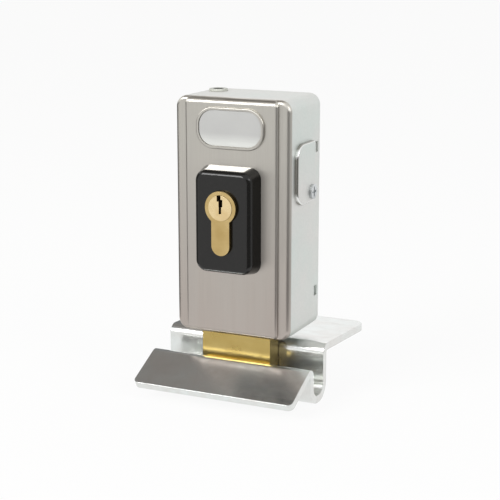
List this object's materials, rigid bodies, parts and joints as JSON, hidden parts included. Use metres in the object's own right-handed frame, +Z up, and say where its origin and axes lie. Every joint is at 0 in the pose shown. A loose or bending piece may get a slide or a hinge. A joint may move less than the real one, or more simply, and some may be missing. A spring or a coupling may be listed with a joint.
{
  "type": "electric gate lock",
  "caption": "Surface electric lock for a swing gate, with a key cylinder, a vertical drop bolt, a hidden solenoid and a floor strike.",
  "frame": {"origin": "middle of the rear mounting face, at the centre of the four gate fixing holes", "axes": "+X right as seen from the front, +Y to the rear into the gate leaf, +Z up; the cylinder faces -Y"},
  "size_m": [0.09, 0.1037, 0.1574],
  "materials": {
    "zinc_sheet": "pale zinc plated sheet",
    "stainless_sheet": "vertically brushed stainless steel",
    "label_sheet": "satin anodised",
    "black_gloss": "gloss black",
    "brass": "machined, lightly polished",
    "nickel_brass": "turned, satin",
    "zinc_steel": "bright zinc",
    "spring_steel": "drawn wire",
    "nylon": "natural nylon",
    "copper_winding": "enamelled copper wire",
    "black_plastic": "glass filled plastic",
    "grey_plastic": "moulded plastic",
    "grey_rubber": "pale grey soft rubber",
    "strike_steel": "bright zinc plated plate"
  },
  "bodies": {
    "lock_case": {"back_box": "zinc_sheet", "back_plate": "zinc_sheet", "front_cover": "stainless_sheet", "name_plate": "label_sheet", "escutcheon": "black_gloss", "escutcheon_screws": "zinc_steel", "cylinder_body": "brass", "cylinder_screw": "zinc_steel", "bolt_guide": "nylon", "spring_bridge": "zinc_sheet", "spring_pins": "zinc_steel", "bolt_springs": "spring_steel", "lever_pivot": "zinc_steel", "solenoid_frame": "zinc_sheet", "solenoid_bobbin": "black_plastic", "solenoid_coil": "copper_winding", "terminal_block": "grey_plastic", "terminal_screws": "zinc_steel", "cable_grommet": "grey_rubber", "side_plate": "zinc_sheet", "side_screw": "zinc_steel", "cover_screws": "zinc_steel", "floor_strike": "strike_steel"},
    "bolt_group": {"bolt": "brass", "bolt_rivets": "zinc_steel", "lift_plate": "zinc_steel", "lift_pin": "zinc_steel"},
    "key_group": {"cylinder_plug": "nickel_brass", "cylinder_cam": "zinc_steel"},
    "lever_group": {"lever": "zinc_steel"},
    "plunger_group": {"plunger": "zinc_steel", "plunger_pin": "zinc_steel"}
  },
  "joints": [
    {"name": "bolt_slide", "type": "slide", "parent": "lock_case", "child": "bolt_group", "axis": [0, 0, 1], "range_m": [0, 0.014], "stiffness_N_per_m": 350, "springref_m": -0.01, "deforming": ["bolt_springs"]},
    {"name": "plug_turn", "type": "hinge", "parent": "lock_case", "child": "key_group", "pos_m": [0, -0.0237, 0.008], "axis": [0, -1, 0], "range_deg": [0, 77.1]},
    {"name": "lever_turn", "type": "hinge", "parent": "lock_case", "child": "lever_group", "pos_m": [-0.014, -0.009, 0.011], "axis": [0, -1, 0], "range_deg": [0, 23.97]},
    {"name": "plunger_slide", "type": "slide", "parent": "lock_case", "child": "plunger_group", "axis": [0, 0, 1], "range_m": [0, 0.00701]}
  ],
  "couplings": [
    {"joint": "plug_turn", "follows": "bolt_slide", "rad_per_m": 96},
    {"joint": "lever_turn", "follows": "bolt_slide", "rad_per_m": 29.86},
    {"joint": "plunger_slide", "follows": "bolt_slide", "ratio": 0.5}
  ]
}
